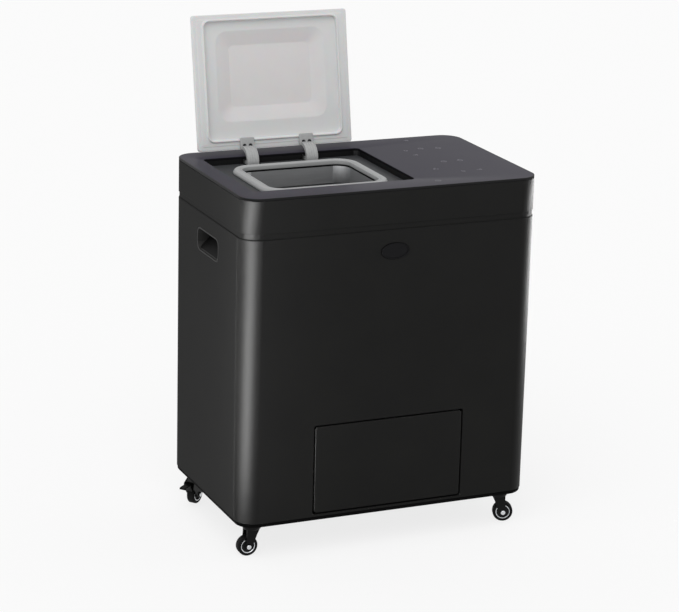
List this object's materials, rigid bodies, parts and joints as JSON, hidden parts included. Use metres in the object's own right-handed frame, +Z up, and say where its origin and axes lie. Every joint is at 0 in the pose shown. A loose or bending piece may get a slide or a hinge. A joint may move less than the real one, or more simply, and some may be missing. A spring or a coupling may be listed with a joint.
{
  "type": "electric food waste composter",
  "caption": "Tall black cabinet composter on swivel casters, with an open lid over a sealed mouth, touch panel top, side grips and a front drawer.",
  "frame": {"origin": "floor level, on the centre line of the width, midway between the front of the cabinet and the back of the open lid", "axes": "+Z up, front (drawer side) faces -Y, +X to the right seen from the front"},
  "size_m": [0.5018, 0.331, 0.7843],
  "materials": {
    "shell_plastic": "satin black moulded plastic",
    "top_gloss": "glossy blue-black plate",
    "well_plastic": "matte black plastic",
    "lid_plastic": "frosted light grey plastic",
    "seal_rubber": "soft light grey seal",
    "hinge_plastic": "light grey glass-filled plastic",
    "badge_metal": "dark anodised",
    "stainless": "brushed",
    "sheet_steel": "galvanised grey sheet",
    "inner_plastic": "dark moulded plastic",
    "grey_plastic": "mid grey moulded plastic",
    "heater_pad": "orange silicone warming pad",
    "motor_metal": "dark enamel",
    "bearing_plastic": "natural acetal",
    "gear_nylon": "natural nylon",
    "board_green": "green circuit board",
    "psu_metal": "folded aluminium",
    "pin_steel": "polished steel",
    "screw_steel": "zinc plated",
    "filter_plastic": "dark grey plastic with carbon cartridge",
    "caster_black": "black enamel",
    "tyre_rubber": "black tread",
    "hub_bright": "bright plated rim",
    "catch_plastic": "white plastic"
  },
  "bodies": {
    "cabinet": {"base_tray": "shell_plastic", "main_shell": "shell_plastic", "front_panel": "shell_plastic", "top_cover": "shell_plastic", "top_plate": "top_gloss", "lid_well": "well_plastic", "mouth_seal": "seal_rubber", "badge_plate": "badge_metal", "grip_cup_left": "inner_plastic", "grip_cup_right": "inner_plastic", "mouth_chute": "stainless", "trough": "stainless", "heater_mat": "heater_pad", "trough_cradles": "sheet_steel", "shaft_bushes": "bearing_plastic", "gear_motor": "motor_metal", "bulkhead": "sheet_steel", "bay_frame": "sheet_steel", "gate_frame": "grey_plastic", "gate_motor": "motor_metal", "filter_box": "filter_plastic", "fan_housing": "inner_plastic", "air_duct": "grey_plastic", "rear_grille": "shell_plastic", "control_board": "board_green", "power_supply": "psu_metal", "mains_inlet": "inner_plastic", "hinge_pins": "pin_steel", "drawer_runners": "sheet_steel", "drawer_catch": "catch_plastic", "caster_plates": "caster_black", "case_screws": "screw_steel"},
    "stirrer": {"stirrer_shaft": "stainless", "stirrer_paddles": "stainless", "drive_gear": "gear_nylon"},
    "motor_pinion": {"motor_pinion": "pin_steel"},
    "fan_rotor": {"fan_rotor": "inner_plastic"},
    "gate": {"gate_plate": "stainless"},
    "gate_pinion": {"gate_pinion": "gear_nylon"},
    "lid": {"lid_panel": "lid_plastic", "hinge_arm_left": "hinge_plastic", "hinge_arm_right": "hinge_plastic", "lid_screws": "screw_steel"},
    "drawer": {"drawer_front": "shell_plastic", "drawer_bin": "grey_plastic", "drawer_slides": "pin_steel"},
    "caster_fl": {"fork_fl": "caster_black"},
    "wheel_fl": {"tyre_fl": "tyre_rubber", "hub_fl": "hub_bright"},
    "caster_fr": {"fork_fr": "caster_black"},
    "wheel_fr": {"tyre_fr": "tyre_rubber", "hub_fr": "hub_bright"},
    "caster_bl": {"fork_bl": "caster_black"},
    "wheel_bl": {"tyre_bl": "tyre_rubber", "hub_bl": "hub_bright"},
    "caster_br": {"fork_br": "caster_black"},
    "wheel_br": {"tyre_br": "tyre_rubber", "hub_br": "hub_bright"},
    "brake_bl": {"brake_lever_bl": "caster_black"},
    "brake_br": {"brake_lever_br": "caster_black"}
  },
  "joints": [
    {"name": "lid_hinge", "type": "hinge", "parent": "cabinet", "child": "lid", "pos_m": [-0.08, 0.11303, 0.559], "axis": [1, 0, 0], "range_deg": [0, 100.5]},
    {"name": "drawer_slide", "type": "slide", "parent": "cabinet", "child": "drawer", "axis": [0, -1, 0], "range_m": [0, 0.19]},
    {"name": "gate_slide", "type": "slide", "parent": "cabinet", "child": "gate", "axis": [-1, 0, 0], "range_m": [0, 0.124]},
    {"name": "gate_pinion_spin", "type": "hinge", "parent": "cabinet", "child": "gate_pinion", "pos_m": [-0.105, -0.05627, 0.244], "axis": [0, 0, 1], "range_deg": [-2, 600]},
    {"name": "stirrer_spin", "type": "hinge", "parent": "cabinet", "child": "stirrer", "pos_m": [0, -0.00947, 0.365], "axis": [1, 0, 0], "continuous": true},
    {"name": "motor_pinion_spin", "type": "hinge", "parent": "cabinet", "child": "motor_pinion", "pos_m": [0.109, -0.00947, 0.28], "axis": [1, 0, 0], "continuous": true},
    {"name": "fan_spin", "type": "hinge", "parent": "cabinet", "child": "fan_rotor", "pos_m": [0.1735, 0.12153, 0.44], "axis": [0, 1, 0], "continuous": true},
    {"name": "swivel_fl", "type": "hinge", "parent": "cabinet", "child": "caster_fl", "pos_m": [-0.211, -0.12947, 0.047], "axis": [0, 0, 1], "continuous": true},
    {"name": "roll_fl", "type": "hinge", "parent": "caster_fl", "child": "wheel_fl", "pos_m": [-0.219, -0.12947, 0.016], "axis": [0, -1, 0], "continuous": true},
    {"name": "swivel_fr", "type": "hinge", "parent": "cabinet", "child": "caster_fr", "pos_m": [0.211, -0.12947, 0.047], "axis": [0, 0, 1], "continuous": true},
    {"name": "roll_fr", "type": "hinge", "parent": "caster_fr", "child": "wheel_fr", "pos_m": [0.21852, -0.13221, 0.016], "axis": [0.342, 0.9397, 0], "continuous": true},
    {"name": "swivel_bl", "type": "hinge", "parent": "cabinet", "child": "caster_bl", "pos_m": [-0.211, 0.11053, 0.047], "axis": [0, 0, 1], "continuous": true},
    {"name": "roll_bl", "type": "hinge", "parent": "caster_bl", "child": "wheel_bl", "pos_m": [-0.21713, 0.10539, 0.016], "axis": [0.6428, -0.766, 0], "continuous": true},
    {"name": "brake_bl", "type": "hinge", "parent": "caster_bl", "child": "brake_bl", "pos_m": [-0.22862, 0.09575, 0.034], "axis": [0.6428, -0.766, 0], "range_deg": [0, 16]},
    {"name": "swivel_br", "type": "hinge", "parent": "cabinet", "child": "caster_br", "pos_m": [0.211, 0.11053, 0.047], "axis": [0, 0, 1], "continuous": true},
    {"name": "roll_br", "type": "hinge", "parent": "caster_br", "child": "wheel_br", "pos_m": [0.21713, 0.10539, 0.016], "axis": [0.6428, 0.766, 0], "continuous": true},
    {"name": "brake_br", "type": "hinge", "parent": "caster_br", "child": "brake_br", "pos_m": [0.22862, 0.09575, 0.034], "axis": [0.6428, 0.766, 0], "range_deg": [0, 16]}
  ],
  "couplings": [
    {"joint": "motor_pinion_spin", "follows": "stirrer_spin", "ratio": -3.25},
    {"joint": "gate_pinion_spin", "follows": "gate_slide", "rad_per_m": 83.333}
  ]
}
